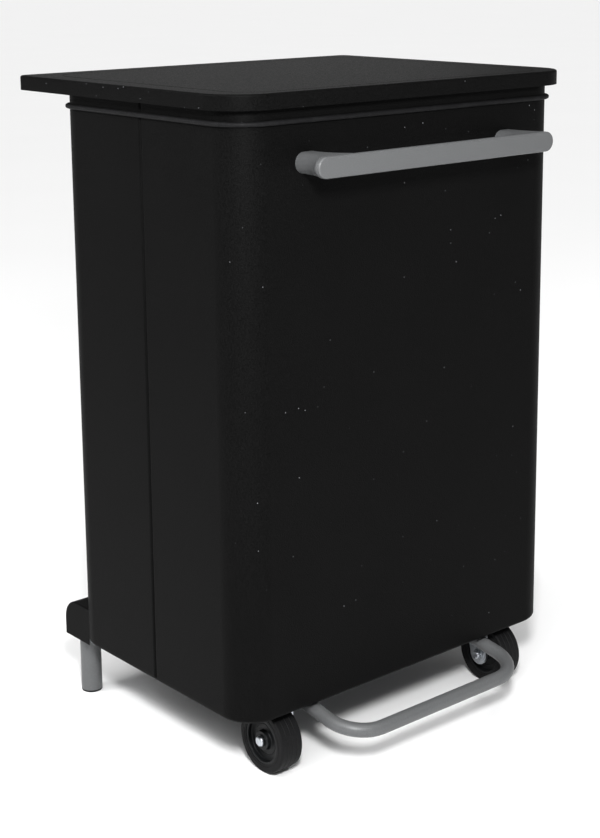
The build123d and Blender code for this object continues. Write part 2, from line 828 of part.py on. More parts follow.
with BuildPart() as rod_clevis:
    with BuildSketch(Plane.XY.offset(clevis_bottom)):
        with Locations((0, rod_y)):
            RectangleRounded(clevis_gap + 2 * clevis_cheek, clevis_depth, clevis_round)
    extrude(amount=clevis_top - clevis_bottom)
    with BuildSketch(Plane.XY.offset(clevis_floor)):
        with Locations((0, rod_y)):
            Rectangle(clevis_gap, 2 * clevis_depth)
    extrude(amount=clevis_top, mode=Mode.SUBTRACT)
    with BuildSketch(Plane.XY.offset(clevis_bottom)):
        with Locations((0, rod_y)):
            Circle(rod_radius)
    extrude(amount=rod_top - clevis_bottom, mode=Mode.SUBTRACT)
    with BuildSketch(along_x(-far, rod_y, rod_pin_z)):
        Circle(rod_pin_radius)
    extrude(amount=2 * far, mode=Mode.SUBTRACT)
save(rod_clevis, "rod_clevis")

pin_reach = clevis_gap / 2 + clevis_cheek + clevis_round
with BuildPart() as rod_pin:
    with BuildSketch(along_x(-pin_reach, rod_y, rod_pin_z)):
        Circle(rod_pin_radius)
    extrude(amount=2 * pin_reach)
save(rod_pin, "rod_pin")

for guide_name, guide_height in guide_heights.items():
    with BuildPart() as rod_guide:
        with BuildSketch(Plane.XY.offset(guide_height - plate)):
            with Locations((0, (half_depth + rod_y) / 2)):
                Rectangle(guide_width, rod_y - half_depth)
            with Locations((0, rod_y)):
                Circle(guide_collar_ratio * guide_radius)
                Circle(guide_radius, mode=Mode.SUBTRACT)
        extrude(amount=plate)
        with BuildSketch(Plane.XZ.offset(-half_depth)):
            with Locations((0, guide_height - guide_foot / 2)):
                Rectangle(guide_width, guide_foot)
        extrude(amount=-plate)
        drill(guide_rivet_points, (0, 1, 0), rivet_radius, 2 * plate)
    save(rod_guide, f"rod_guide_{guide_name}")

with BuildPart() as guide_bushes:
    for guide_height in guide_heights.values():
        with BuildSketch(Plane.XY.offset(guide_height - plate)):
            with Locations((0, rod_y)):
                Circle(guide_radius)
                Circle(rod_radius + running_fit, mode=Mode.SUBTRACT)
        extrude(amount=plate)
        with BuildSketch(Plane.XY.offset(guide_height)):
            with Locations((0, rod_y)):
                Circle(guide_radius + guide_bush_flange)
                Circle(rod_radius + running_fit, mode=Mode.SUBTRACT)
        extrude(amount=guide_bush_flange)
save(guide_bushes, "guide_bushes")

fastener_group(
    "rear_rivets", channel_rivet_points + hinge_rivet_points + guide_rivet_points, (0, 1, 0),
    rivet_radius, rivet_head_radius, rivet_head_height, plate + 2 * sheet,
)

# ---------------------------------------------------------------- rear cross channel


def channel_block(inset):
    """The channel's outside, drawn in by an inset: a box with a rounded top rear edge."""
    back = half_depth + channel_reach - inset
    top = channel_top - inset
    with BuildPart() as block:
        with BuildSketch(Plane.YZ.offset(inset - channel_half_length)) as profile:
            with Locations((back - channel_reach - body_corner, channel_bottom - 2 * inset)):
                Rectangle(
                    channel_reach + body_corner, top - channel_bottom + 2 * inset,
                    align=(Align.MIN, Align.MIN),
                )
            top_rear = profile.vertices().group_by(Axis.X)[-1].sort_by(Axis.Y)[-1]
            fillet(top_rear, channel_round - inset)
        extrude(amount=2 * (channel_half_length - inset))
    return block.part


with BuildPart() as rear_channel:
    add(channel_block(0))
    ends = rear_channel.faces().group_by(Axis.X)
    fillet(
        (ends[0] + ends[-1]).edges().filter_by(GeomType.CIRCLE), channel_end_round,
    )
    add(channel_block(channel_sheet), mode=Mode.SUBTRACT)
    extrude(body_plan(0, 0), amount=body_top, mode=Mode.SUBTRACT)
    with BuildSketch(Plane.XZ.offset(-half_depth)):
        with Locations((0, channel_top - channel_sheet)):
            Rectangle(
                body_width - 2 * body_corner - 2 * channel_flange_clear,
                channel_flange + channel_sheet,
                align=(Align.CENTER, Align.MIN),
            )
    extrude(amount=-channel_sheet)
    with BuildSketch(Plane.XY) as rod_hole:
        with Locations((0, rod_y)):
            Circle(foot_radius + foot_clearance)
    extrude(rod_hole.sketch, amount=body_top, mode=Mode.SUBTRACT)
    drill(channel_rivet_points, (0, 1, 0), rivet_radius, 2 * channel_sheet)
save(rear_channel, "rear_channel")

# ---------------------------------------------------------------- legs

for side_name, side in sides.items():
    with BuildPart() as leg:
        with BuildSketch(Plane.XY.offset(glide_height)):
            with Locations((side * leg_x, leg_y)):
                Circle(leg_radius)
                Circle(leg_radius - leg_wall, mode=Mode.SUBTRACT)
        extrude(amount=leg_top - glide_height)
    save(leg, f"leg_{side_name}")

    with BuildPart() as leg_plate:
        with BuildSketch(Plane.XY.offset(leg_top)):
            with Locations((side * leg_plate_x, (leg_plate_front + leg_plate_rear) / 2)):
                RectangleRounded(
                    leg_plate_width, leg_plate_rear - leg_plate_front, leg_plate_corner,
                )
        extrude(amount=body_bottom - leg_top)
        drill(leg_screw_points, (0, 0, 1), screw_radius, 2 * plate)
    save(leg_plate, f"leg_plate_{side_name}")

    with BuildPart() as leg_glide:
        with BuildSketch(Plane.XY):
            with Locations((side * leg_x, leg_y)):
                Circle(leg_radius)
        extrude(amount=glide_height)
        fillet(leg_glide.faces().sort_by(Axis.Z)[0].edges(), soft_edge)
        with BuildSketch(Plane.XY.offset(glide_height)):
            with Locations((side * leg_x, leg_y)):
                Circle(leg_radius - leg_wall)
                Circle(leg_radius - seat_bore_ratio * leg_wall, mode=Mode.SUBTRACT)
        extrude(amount=glide_plug)
    save(leg_glide, f"leg_glide_{side_name}")

fastener_group(
    "leg_screws", leg_screw_points, (0, 0, -1), screw_radius, screw_head_radius,
    screw_head_height, plate_screw_grip,
)

# ---------------------------------------------------------------- wheels

for side_name, side in sides.items():
    wheel_centre = (side * wheel_x, wheel_y, wheel_radius)
    wheel_plane = Plane(origin=wheel_centre, x_dir=(side, 0, 0), z_dir=(0, -side, 0))
    wheel_axis = Axis(wheel_centre, (1, 0, 0))
    rim_radius = wheel_radius - tyre_depth
    axle_head = wheel_width / 2 + axle_head_gap
    axle_tail = wheel_bracket_x - plate / 2 - axle_stick_out - wheel_x

    with BuildPart() as tyre:
        with BuildSketch(wheel_plane) as section:
            with Locations((0, (rim_radius + wheel_radius) / 2)):
                Rectangle(wheel_width, tyre_depth)
            fillet(section.vertices().group_by(Axis.Y)[-1], tyre_edge)
        revolve(axis=wheel_axis)
    save(tyre, f"tyre_{side_name}")

    with BuildPart() as hub:
        with BuildSketch(wheel_plane):
            with Locations((0, rim_radius - hub_rim)):
                Rectangle(
                    wheel_width - 2 * hub_rim_inset, hub_rim, align=(Align.CENTER, Align.MIN),
                )
            with Locations((0, bush_radius)):
                Rectangle(hub_web, rim_radius - bush_radius, align=(Align.CENTER, Align.MIN))
                Rectangle(
                    wheel_width - 2 * hub_boss_inset, hub_boss, align=(Align.CENTER, Align.MIN),
                )
        revolve(axis=wheel_axis)
    save(hub, f"hub_{side_name}")

    with BuildPart() as wheel_bush:
        with BuildSketch(wheel_plane):
            with Locations((0, (axle_radius + running_fit + bush_radius) / 2)):
                Rectangle(wheel_width, bush_radius - axle_radius - running_fit)
        revolve(axis=wheel_axis)
    save(wheel_bush, f"wheel_bush_{side_name}")

    with BuildPart() as axle:
        with BuildSketch(Plane(origin=wheel_centre, z_dir=(side, 0, 0)).offset(axle_tail)):
            Circle(axle_radius)
        extrude(amount=axle_head - axle_tail)
        with BuildSketch(Plane(origin=wheel_centre, z_dir=(side, 0, 0)).offset(axle_head)):
            Circle(axle_head_radius)
        extrude(amount=axle_dome)
        fillet(axle.faces().sort_by(Axis.X)[0 if side < 0 else -1].edges(), axle_dome_round)
        chamfer(axle.faces().sort_by(Axis.X)[-1 if side < 0 else 0].edges(), axle_radius / 5)
    save(axle, f"axle_{side_name}")

    with BuildPart() as wheel_bracket:
        with BuildSketch(upright(side * wheel_bracket_x, plate)):
            with Locations((wheel_y, wheel_radius)):
                Circle(wheel_ear_radius)
            Polygon(
                (wheel_y - wheel_ear_radius, wheel_radius), (wheel_y + wheel_ear_radius, wheel_radius),
                (wheel_y + 2 * wheel_ear_radius, pan_floor),
                (wheel_y - wheel_ear_radius, pan_floor), align=None,
            )
            with Locations((wheel_y, wheel_radius)):
                Circle(axle_radius, mode=Mode.SUBTRACT)
        extrude(amount=plate)
        with BuildSketch(Plane.XY.offset(pan_floor - plate)):
            with Locations((side * wheel_foot_middle, wheel_y + wheel_foot_shift)):
                Rectangle(wheel_foot_width, wheel_foot_length)
        extrude(amount=plate)
        drill(wheel_screw_points, (0, 0, 1), screw_radius, 2 * plate)
    save(wheel_bracket, f"wheel_bracket_{side_name}")

with BuildPart() as wheel_washers:
    for side in sides.values():
        gap_middle = (wheel_bracket_x + plate / 2 + wheel_x - wheel_width / 2) / 2
        with BuildSketch(upright(side * gap_middle, washer_thickness)):
            with Locations((wheel_y, wheel_radius)):
                Circle(washer_radius)
                Circle(axle_radius + running_fit, mode=Mode.SUBTRACT)
        extrude(amount=washer_thickness)
save(wheel_washers, "wheel_washers")

with BuildPart() as axle_star_clips:
    for side in sides.values():
        clip_middle = wheel_bracket_x - (plate + star_clip_thickness) / 2
        with BuildSketch(upright(side * clip_middle, star_clip_thickness)):
            with Locations((wheel_y, wheel_radius)):
                Circle(star_clip_radius)
                Circle(axle_radius, mode=Mode.SUBTRACT)
                with PolarLocations(axle_radius, star_clip_slots):
                    Rectangle(star_clip_slot, star_clip_thickness, mode=Mode.SUBTRACT)
        extrude(amount=star_clip_thickness)
save(axle_star_clips, "axle_star_clips")

# ---------------------------------------------------------------- handle

bar_front = -half_depth - handle_standoff
with BuildPart() as handle_bar:
    with BuildSketch(Plane.XZ.offset(-bar_front)):
        with Locations((0, handle_height)):
            SlotOverall(handle_length, handle_bar_height)
    extrude(amount=-handle_bar_thickness)
    fillet(handle_bar.faces().filter_by(Axis.Y).edges(), handle_edge)
save(handle_bar, "handle_bar")

mount_length = handle_standoff - handle_bar_thickness
for side_name, side in sides.items():
    mount_x = side * (mount_outer_x - mount_width / 2)
    with BuildPart() as handle_mount:
        with BuildSketch(Plane.XZ.offset(half_depth)):
            with Locations((mount_x, handle_height)):
                SlotOverall(mount_width, handle_bar_height)
        extrude(amount=mount_length)
        fillet(handle_mount.faces().sort_by(Axis.Y)[-1].edges(), mount_edge)
        drill(handle_screw_points, (0, 1, 0), screw_radius, mount_screw_depth)
    save(handle_mount, f"handle_mount_{side_name}")

fastener_group(
    "handle_screws", handle_screw_points, (0, 1, 0), screw_radius, screw_head_radius,
    screw_head_height, mount_screw_grip,
)
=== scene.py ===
import json
from math import atan2, ceil, cos, pi, radians, sin

import bmesh
import bpy
from mathutils import Matrix, Vector


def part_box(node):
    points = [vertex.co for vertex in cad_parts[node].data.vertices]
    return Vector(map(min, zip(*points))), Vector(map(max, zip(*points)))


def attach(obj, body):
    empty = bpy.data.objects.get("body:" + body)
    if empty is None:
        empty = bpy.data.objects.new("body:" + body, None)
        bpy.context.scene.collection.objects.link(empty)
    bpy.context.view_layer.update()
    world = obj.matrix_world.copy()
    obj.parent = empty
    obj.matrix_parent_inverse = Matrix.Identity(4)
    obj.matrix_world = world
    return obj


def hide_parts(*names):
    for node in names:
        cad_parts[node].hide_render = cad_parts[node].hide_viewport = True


bl_info = {
    "name": "Linen trolley",
    "version": (1, 0, 0),
    "blender": (4, 5, 0),
    "location": "3D View > Sidebar > Trolley",
    "description": "Models and finishes a pedal-operated linen trolley around its CAD frame",
    "category": "Object",
}

# The trolley stands on the floor with its front towards -Y and its handle there too.
# Everything is in metres, in the frame of the CAD model.

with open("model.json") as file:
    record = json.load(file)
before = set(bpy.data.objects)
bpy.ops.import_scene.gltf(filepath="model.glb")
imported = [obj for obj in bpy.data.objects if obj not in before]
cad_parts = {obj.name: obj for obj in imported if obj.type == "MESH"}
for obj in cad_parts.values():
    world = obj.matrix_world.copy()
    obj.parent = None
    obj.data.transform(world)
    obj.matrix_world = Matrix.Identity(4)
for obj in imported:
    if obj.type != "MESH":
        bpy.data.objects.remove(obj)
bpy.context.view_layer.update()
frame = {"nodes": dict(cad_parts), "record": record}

FACET = radians(9)  # the most that one facet turns round a bend
SHARP = radians(38)  # an edge that turns more than this is drawn as a crease
SAME_PLACE = 1e-6  # points closer than this are one point
WHEEL_FACETS = 80  # facets round a tyre or a hub
X, Y, Z = Vector((1, 0, 0)), Vector((0, 1, 0)), Vector((0, 0, 1))


def mm(value):
    """Millimetres as metres."""
    return value / 1000


def linear(code):
    """An sRGB hex colour such as "#1e1f20" as linear red, green and blue."""
    parts = [int(code[place:place + 2], 16) / 255 for place in (1, 3, 5)]
    return [p / 12.92 if p <= 0.04045 else ((p + 0.055) / 1.055) ** 2.4 for p in parts]


def length(name, description, size):
    """A size that a user may change, given in millimetres."""
    return bpy.props.FloatProperty(
        name=name, description=description, default=mm(size), min=0, precision=4,
        subtype="DISTANCE", unit="LENGTH",
    )


def colour(name, description, code):
    """A colour that a user may change, given in sRGB hex."""
    return bpy.props.FloatVectorProperty(
        name=name, description=description, default=linear(code), min=0, max=1, subtype="COLOR",
    )


# ---------------------------------------------------------------- sizes and colours


class TrolleySheetSizes(bpy.types.PropertyGroup):
    """Bends and edges of the formed sheet parts"""

    sheet: length("Sheet", "Thickness of the body and lid sheet", 1.2)
    body_corner: length("Body corner", "Radius of the body's four upright corners", 40)
    bottom_bend: length("Bottom bend", "Radius of the roll along the body's lower edge", 5)
    foot: length("Foot", "Width of the flange turned in under the body", 22)
    seam_gap: length("Seam gap", "Gap between the two half shells at their seam", 0.4)
    seam_bend: length("Seam bend", "Radius where a shell turns in at the seam", 3.5)
    seam_flange: length("Seam flange", "Depth of the flange inside the seam", 16)
    lid_front_corner: length("Lid front corner", "Radius of the lid's front corners", 48)
    lid_rear_corner: length("Lid rear corner", "Radius of the lid's rear corners", 12)
    lid_edge: length("Lid edge", "Radius of the lid's pressed upper edge", 2.5)
    groove_width: length("Groove width", "Width of the groove pressed round the lid", 2.4)
    groove_depth: length("Groove depth", "Depth of the groove pressed round the lid", 0.5)
    groove_side: length("Groove side inset", "Distance from lid side to groove", 28)
    groove_front: length("Groove front inset", "Distance from lid front to groove", 16)
    groove_corner: length("Groove corner", "Radius of the groove's corners", 36)


class TrolleyGripSizes(bpy.types.PropertyGroup):
    """Edges of the handle and the pedal tube"""

    bar_edge: length("Bar edge", "Radius along the handle bar's edges", 2)
    joint_groove: length("Joint groove", "Width of the line between bar and arm", 0.9)
    arm_flare: length("Arm flare", "How much an arm widens inwards to meet the bar", 17)
    tube_radius: length("Tube radius", "Outer radius of the pedal tube", 8)
    tube_wall: length("Tube wall", "Wall of the pedal tube", 1.5)
    pedal_bend: length("Pedal bend", "Radius of the pedal tube's two bends", 42)


class TrolleyWheelSizes(bpy.types.PropertyGroup):
    """Sections of the tyres and hubs"""

    tyre_depth: length("Tyre depth", "Depth of rubber from rim to tread", 10.5)
    tyre_edge: length("Tyre edge", "Radius between tread and sidewall", 2.2)
    ridge: length("Moulding ridge", "Height of the moulded lines on the tread", 0.45)
    hub_dish: length("Hub dish", "How far the hub's web lies inside its rim", 5.5)
    hub_boss: length("Hub boss", "Radius of the boss round the axle", 11)


class TrolleyColours(bpy.types.PropertyGroup):
    """Colours of the finishes"""

    black_coat: colour("Black coat", "Texture powder coat on body and lid", "#090909")
    # The colour of the painted glints: bright grains painted into the coat in place of its sparkle
    coat_glint: colour("Coat speck", "Bright grains in the black coat", "#8d8f92")
    grey_coat: colour("Grey coat", "Satin powder coat on handle, pedal and legs", "#565758")
    zinc: colour("Zinc", "Bright passivated zinc plate on fittings", "#b4b8bd")
    rubber: colour("Rubber", "Band and buffers", "#101011")
    tyre: colour("Tyre rubber", "Hard tyre rubber", "#0d0d0e")
    polypropylene: colour("Polypropylene", "Hubs, caps and glides", "#111213")
    nylon: colour("Nylon", "Natural nylon bushes and pads", "#dcd8cb")
    floor: colour("Floor", "Studio floor", "#f1f1f1")


def sheet_sizes():
    return bpy.context.scene.trolley_sheet


def grip_sizes():
    return bpy.context.scene.trolley_grip


def wheel_sizes():
    return bpy.context.scene.trolley_wheel


def colours():
    return bpy.context.scene.trolley_colours


# ---------------------------------------------------------------- finishes


def add(tree, kind, inputs=None, **settings):
    """Adds a shader node with its settings, and fills its inputs with values or other outputs."""
    made = tree.nodes.new(kind)
    for key, value in settings.items():
        setattr(made, key, value)
    for key, value in (inputs or {}).items():
        if isinstance(value, bpy.types.NodeSocket):
            tree.links.new(value, made.inputs[key])
        else:
            made.inputs[key].default_value = value
    return made


# The sockets of a colour mix, which have no names of their own
FACTOR, FIRST, SECOND, MIXED = 0, 6, 7, 2


def shade(value, share=1.0):
    """A colour property, lightened or darkened to a share, as four numbers."""
    return (*[part * share for part in value], 1.0)


def blank_material(name):
    """A named material, its node tree, and the object coordinates that its patterns follow."""
    material = bpy.data.materials.new(name)
    material.use_nodes = True
    tree = material.node_tree
    tree.nodes.clear()
    return material, tree, add(tree, "ShaderNodeTexCoord").outputs["Object"]


def texture_powder_coat():
    """Fine-texture black polyester powder, sprayed and baked. The eye sees a dull skin with a
    closed grain and a slight waviness.
    A few bright grains are painted into its colour as painted glints, standing for the sparkle of
    light off its grain."""
    material, tree, place = blank_material("fine_texture_black_powder_coat")
    # The real grain is about 0.4 mm. It is drawn at 1.4 mm, as fine as a whole trolley can show.
    grain = add(tree, "ShaderNodeTexNoise", {"Vector": place, "Scale": 1 / mm(1.4)})
    drift = add(tree, "ShaderNodeTexNoise", {"Vector": place, "Scale": 1 / mm(90)})
    waviness = add(tree, "ShaderNodeTexNoise", {
        "Vector": place, "Scale": 1 / mm(12), "Detail": 1.0,
    })
    drifting = add(tree, "ShaderNodeMapRange", {
        "Value": drift.outputs["Fac"], "From Min": 0.3, "From Max": 0.7,
    })
    base = add(tree, "ShaderNodeMix", {
        FACTOR: drifting.outputs["Result"],
        FIRST: shade(colours().black_coat, 0.95), SECOND: shade(colours().black_coat, 1.05),
    }, data_type="RGBA")
    # The closed grain's painted shade and light: the colour is darkened in the grain's hollows and
    # lightened on its tops, where shade and light would fall
    grain_shading = add(tree, "ShaderNodeMapRange", {
        "Value": grain.outputs["Fac"], "From Min": 0.3, "From Max": 0.7,
        "To Min": 0.5, "To Max": 1.5,
    })
    grain_shaded = add(tree, "ShaderNodeMix", {
        FACTOR: 1.0, FIRST: base.outputs[MIXED], SECOND: grain_shading.outputs["Result"],
    }, data_type="RGBA", blend_type="MULTIPLY")
    # Painted glints: bright grains painted into the colour in place of sparkle, at most one in each
    # cell and only in about a sixth of the cells
    cell = mm(9)
    glint_edge = mm(0.7) / cell
    cells = add(tree, "ShaderNodeTexVoronoi", {"Vector": place, "Scale": 1 / cell})
    inside = add(tree, "ShaderNodeMapRange", {
        "Value": cells.outputs["Distance"], "From Min": glint_edge / 2, "From Max": glint_edge,
        "To Min": 1.0, "To Max": 0.0,
    })
    luck = add(tree, "ShaderNodeSeparateColor", {"Color": cells.outputs["Color"]})
    chosen = add(tree, "ShaderNodeMapRange", {
        "Value": luck.outputs["Red"], "From Min": 0.84, "From Max": 1.0,
    })
    painted_glint = add(tree, "ShaderNodeMath", {
        0: inside.outputs["Result"], 1: chosen.outputs["Result"],
    }, operation="MULTIPLY")
    glint_painted = add(tree, "ShaderNodeMix", {
        FACTOR: painted_glint.outputs[0], FIRST: grain_shaded.outputs[MIXED],
        SECOND: shade(colours().coat_glint),
    }, data_type="RGBA")
    waves = add(tree, "ShaderNodeBump", {
        "Height": waviness.outputs["Fac"], "Distance": mm(0.3), "Strength": 0.2,
    })
    relief = add(tree, "ShaderNodeBump", {
        "Height": grain.outputs["Fac"], "Distance": mm(0.5), "Strength": 0.5,
        "Normal": waves.outputs["Normal"],
    })
    dullness = add(tree, "ShaderNodeMapRange", {
        "Value": grain.outputs["Fac"], "From Min": 0.3, "From Max": 0.7,
        "To Min": 0.42, "To Max": 0.6,
    })
    coat = add(tree, "ShaderNodeBsdfPrincipled", {
        "Base Color": glint_painted.outputs[MIXED], "Roughness": dullness.outputs["Result"],
        "Specular IOR Level": 0.03, "Normal": relief.outputs["Normal"],
    })
    add(tree, "ShaderNodeOutputMaterial", {"Surface": coat.outputs[0]})
    return material


def satin_powder_coat():
    """Satin grey powder coat with a little aluminium flake, sprayed and baked. The eye sees an
    even silver grey with a fine sparkle and a faint orange peel."""
    material, tree, place = blank_material("satin_grey_powder_coat")
    # The flakes are under 0.1 mm. They are drawn at 1 mm, so that they show as a fine mottle.
    flake = add(tree, "ShaderNodeTexNoise", {"Vector": place, "Scale": 1 / mm(1.0)})
    peel = add(tree, "ShaderNodeTexNoise", {
        "Vector": place, "Scale": 1 / mm(3.5), "Detail": 1.0,
    })
    mottle = add(tree, "ShaderNodeMapRange", {
        "Value": flake.outputs["Fac"], "From Min": 0.35, "From Max": 0.65,
    })
    flaked = add(tree, "ShaderNodeMix", {
        FACTOR: mottle.outputs["Result"],
        FIRST: shade(colours().grey_coat, 0.9), SECOND: shade(colours().grey_coat, 1.12),
    }, data_type="RGBA")
    dullness = add(tree, "ShaderNodeMapRange", {
        "Value": flake.outputs["Fac"], "From Min": 0.3, "From Max": 0.7,
        "To Min": 0.36, "To Max": 0.5,
    })
    relief = add(tree, "ShaderNodeBump", {
        "Height": peel.outputs["Fac"], "Distance": mm(0.15), "Strength": 0.25,
    })
    coat = add(tree, "ShaderNodeBsdfPrincipled", {
        "Base Color": flaked.outputs[MIXED], "Metallic": 0.15, "Specular IOR Level": 0.3,
        "Roughness": dullness.outputs["Result"], "Normal": relief.outputs["Normal"],
    })
    add(tree, "ShaderNodeOutputMaterial", {"Surface": coat.outputs[0]})
    return material


def zinc_plate():
    """Mild steel pressings, bright zinc plated and passivated. The eye sees a cool pale metal,
    clouded by the bath, with fine rolling lines left in the sheet."""
    material, tree, place = blank_material("bright_zinc_plated_steel")
    clouds = add(tree, "ShaderNodeTexNoise", {
        "Vector": place, "Scale": 1 / mm(14), "Detail": 3.0,
    })
    patches = add(tree, "ShaderNodeTexNoise", {"Vector": place, "Scale": 1 / mm(10)})
    stretched = add(tree, "ShaderNodeMapping", {
        "Vector": place, "Scale": (1 / mm(0.8), 1 / mm(0.8), 1 / mm(25)),
    })
    lines = add(tree, "ShaderNodeTexNoise", {
        "Vector": stretched.outputs["Vector"], "Scale": 1.0,
    })
    drifting = add(tree, "ShaderNodeMapRange", {
        "Value": patches.outputs["Fac"], "From Min": 0.3, "From Max": 0.7,
    })
    base = add(tree, "ShaderNodeMix", {
        FACTOR: drifting.outputs["Result"],
        FIRST: shade(colours().zinc, 0.88), SECOND: shade(colours().zinc, 1.12),
    }, data_type="RGBA")
    dullness = add(tree, "ShaderNodeMapRange", {
        "Value": clouds.outputs["Fac"], "From Min": 0.3, "From Max": 0.7,
        "To Min": 0.26, "To Max": 0.44,
    })
    relief = add(tree, "ShaderNodeBump", {
        "Height": lines.outputs["Fac"], "Distance": mm(0.05), "Strength": 0.2,
    })
    plate = add(tree, "ShaderNodeBsdfPrincipled", {
        "Base Color": base.outputs[MIXED], "Metallic": 1.0,
        "Roughness": dullness.outputs["Result"], "Normal": relief.outputs["Normal"],
    })
    add(tree, "ShaderNodeOutputMaterial", {"Surface": plate.outputs[0]})
    return material


def moulded(name, value, grain, rough_low, rough_high, relief_depth, dust):
    """A moulded material: an even colour, a sparked or matt grain, and dust in its grain."""
    material, tree, place = blank_material(name)
    texture = add(tree, "ShaderNodeTexNoise", {"Vector": place, "Scale": 1 / grain})
    patches = add(tree, "ShaderNodeTexNoise", {"Vector": place, "Scale": 1 / (30 * grain)})
    clouds = add(tree, "ShaderNodeTexNoise", {
        "Vector": place, "Scale": 1 / (6 * grain), "Detail": 4.0,
    })
    drifting = add(tree, "ShaderNodeMapRange", {
        "Value": patches.outputs["Fac"], "From Min": 0.3, "From Max": 0.7,
    })
    base = add(tree, "ShaderNodeMix", {
        FACTOR: drifting.outputs["Result"], FIRST: shade(value, 0.88), SECOND: shade(value, 1.12),
    }, data_type="RGBA")
    dusting = add(tree, "ShaderNodeMapRange", {
        "Value": clouds.outputs["Fac"], "From Min": 0.5, "From Max": 0.8, "To Max": dust,
    })
    dusty = add(tree, "ShaderNodeMix", {
        FACTOR: dusting.outputs["Result"], FIRST: base.outputs[MIXED],
        SECOND: shade(colours().grey_coat),
    }, data_type="RGBA")
    dullness = add(tree, "ShaderNodeMapRange", {
        "Value": texture.outputs["Fac"], "From Min": 0.3, "From Max": 0.7,
        "To Min": rough_low, "To Max": rough_high,
    })
    relief = add(tree, "ShaderNodeBump", {
        "Height": texture.outputs["Fac"], "Distance": relief_depth, "Strength": 0.4,
    })
    skin = add(tree, "ShaderNodeBsdfPrincipled", {
        "Base Color": dusty.outputs[MIXED], "Roughness": dullness.outputs["Result"],
        "Specular IOR Level": 0.12, "Normal": relief.outputs["Normal"],
    })
    add(tree, "ShaderNodeOutputMaterial", {"Surface": skin.outputs[0]})
    return material


def band_rubber():
    """Extruded EPDM cord and moulded buffers: matt, a little chalky, almost no shine."""
    return moulded("black_epdm_rubber", colours().rubber, mm(0.9), 0.55, 0.75, mm(0.2), 0.05)


def tyre_rubber():
    """Hard moulded tyre rubber: matt, with a little floor dust caught in its skin."""
    return moulded("moulded_tyre_rubber", colours().tyre, mm(1.1), 0.55, 0.75, mm(0.35), 0.03)


def moulded_polypropylene():
    """Black polypropylene from a sparked mould: a satin skin with a fine grain."""
    return moulded(
        "moulded_black_polypropylene", colours().polypropylene, mm(0.8), 0.34, 0.5, mm(0.15), 0.03,
    )


def natural_nylon():
    """Turned natural nylon: off-white, waxy, with a soft shine."""
    return moulded("natural_nylon", colours().nylon, mm(1.5), 0.32, 0.45, mm(0.1), 0.06)


FINISHES = {
    "black_powder_coat": texture_powder_coat,
    "grey_powder_coat": satin_powder_coat,
    "zinc_plated_steel": zinc_plate,
    "black_rubber": band_rubber,
    "tyre_rubber": tyre_rubber,
    "black_polypropylene": moulded_polypropylene,
    "nylon": natural_nylon,
}
finished = {}


def finish_for(slot):
    """The material for one of the record's slots, made once and then shared."""
    if slot not in finished:
        finished[slot] = FINISHES[slot]()
    return finished[slot]


# ---------------------------------------------------------------- shaping


def only(kind, geometry):
    """The vertices, edges or faces in a mixed list."""
    return [item for item in geometry if isinstance(item, kind)]


def verts_of(geometry):
    return only(bmesh.types.BMVert, geometry)


def edges_of(geometry):
    return only(bmesh.types.BMEdge, geometry)


def with_verts(edges):
    """Edges and the vertices at their ends, as one list."""
    return [*edges, *{vert for edge in edges for vert in edge.verts}]


def carry(shape, geometry, place, ahead, up, route):
    """Carries a point or a chain of edges along runs and bends, leaving edges or faces behind.

    place is where the route starts, ahead its first direction, and up the axis that it bends
    round. A number in the route is a straight run. A pair is a bend, a radius and an angle in
    degrees, to the left of ahead if the angle is positive. Returns what stands at the end."""
    place, ahead, up = Vector(place), Vector(ahead).normalized(), Vector(up).normalized()
    for stretch in route:
        if isinstance(stretch, tuple):
            radius, angle = stretch[0], radians(stretch[1])
            centre = place + up.cross(ahead) * (radius if angle > 0 else -radius)
            geometry = bmesh.ops.spin(
                shape, geom=geometry, cent=centre, axis=up, angle=angle,
                steps=max(2, ceil(abs(angle) / FACET)),
            )["geom_last"]
            turn = Matrix.Rotation(angle, 3, up)
            place = centre + turn @ (place - centre)
            ahead = turn @ ahead
        else:
            if edges_of(geometry):
                made = bmesh.ops.extrude_edge_only(shape, edges=edges_of(geometry))["geom"]
                geometry = verts_of(made) + edges_of(made)
            else:
                geometry = bmesh.ops.extrude_vert_indiv(shape, verts=geometry)["verts"]
            bmesh.ops.translate(shape, verts=verts_of(geometry), vec=ahead * stretch)
            place = place + ahead * stretch
    return geometry


def trace(shape, place, ahead, up, route):
    """Draws a route as a chain of edges from a new vertex, and returns the chain."""
    before = set(shape.edges)
    carry(shape, [shape.verts.new(place)], place, ahead, up, route)
    return with_verts([edge for edge in shape.edges if edge not in before])


def weld(shape):
    bmesh.ops.remove_doubles(shape, verts=shape.verts, dist=SAME_PLACE)


def mirror_across_middle(shape):
    """Adds the left half of a shape whose right half is drawn."""
    everything = shape.verts[:] + shape.edges[:] + shape.faces[:]
    bmesh.ops.mirror(shape, geom=everything, axis="X", merge_dist=SAME_PLACE)


def open_edges(shape, keep):
    """The open edges of a shape whose two ends both pass a test."""
    return [
        edge for edge in shape.edges
        if len(edge.link_faces) == 1 and all(keep(vert.co) for vert in edge.verts)
    ]


def edge_middle(edge):
    return (edge.verts[0].co + edge.verts[1].co) / 2


def face_outwards(shape):
    """Points all faces the same way, out of the space that they hold."""
    bmesh.ops.recalc_face_normals(shape, faces=shape.faces)
    if shape.calc_volume(signed=True) < 0:
        bmesh.ops.reverse_faces(shape, faces=shape.faces)


